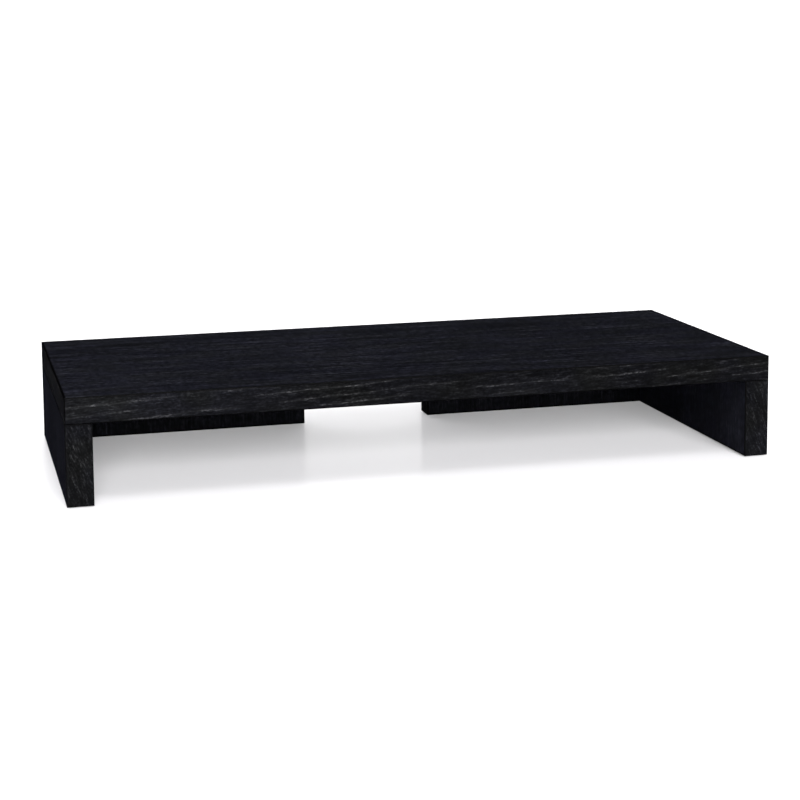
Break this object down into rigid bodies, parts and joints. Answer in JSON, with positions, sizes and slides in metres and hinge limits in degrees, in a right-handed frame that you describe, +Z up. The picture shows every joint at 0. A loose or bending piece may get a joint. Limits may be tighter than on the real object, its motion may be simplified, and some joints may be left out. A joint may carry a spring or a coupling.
{
  "type": "monitor riser",
  "caption": "Low fixed desk riser: a thick wood-grain top board on side panels, open at the front, with short back panels that leave a gap for cables.",
  "frame": {"origin": "centre of the footprint, on the surface that the riser stands on", "axes": "+X along the width, to the right as seen from the open front; +Y to the back, where the back panels are; +Z up"},
  "size_m": [0.7, 0.3, 0.103],
  "materials": {
    "black_woodgrain_board": "satin black melamine facing with a fine brushed wood grain",
    "black_woodgrain_edge": "satin black plastic edge band with a lighter brushed wood grain",
    "zinc_cam": "dull die-cast zinc",
    "steel_bolt": "zinc-plated steel",
    "beech_dowel": "bare beech",
    "black_cap": "fine-grained black plastic",
    "black_pad": "matt foam rubber"
  },
  "bodies": {
    "root": {"top_panel": "black_woodgrain_board", "top_front_band": "black_woodgrain_edge", "top_rear_band": "black_woodgrain_edge", "top_left_band": "black_woodgrain_edge", "top_right_band": "black_woodgrain_edge", "left_side_panel": "black_woodgrain_board", "left_side_front_band": "black_woodgrain_edge", "left_side_rear_band": "black_woodgrain_edge", "left_side_bottom_band": "black_woodgrain_edge", "left_side_cams": "zinc_cam", "left_side_cam_bolts": "steel_bolt", "left_side_cam_caps": "black_cap", "left_side_dowels": "beech_dowel", "left_side_pads": "black_pad", "left_back_panel": "black_woodgrain_board", "left_back_end_band": "black_woodgrain_edge", "left_back_bottom_band": "black_woodgrain_edge", "left_back_cams": "zinc_cam", "left_back_cam_bolts": "steel_bolt", "left_back_cam_caps": "black_cap", "left_back_dowels": "beech_dowel", "left_back_pad": "black_pad", "right_side_panel": "black_woodgrain_board", "right_side_front_band": "black_woodgrain_edge", "right_side_rear_band": "black_woodgrain_edge", "right_side_bottom_band": "black_woodgrain_edge", "right_side_cams": "zinc_cam", "right_side_cam_bolts": "steel_bolt", "right_side_cam_caps": "black_cap", "right_side_dowels": "beech_dowel", "right_side_pads": "black_pad", "right_back_panel": "black_woodgrain_board", "right_back_end_band": "black_woodgrain_edge", "right_back_bottom_band": "black_woodgrain_edge", "right_back_cams": "zinc_cam", "right_back_cam_bolts": "steel_bolt", "right_back_cam_caps": "black_cap", "right_back_dowels": "beech_dowel", "right_back_pad": "black_pad"}
  },
  "joints": []
}
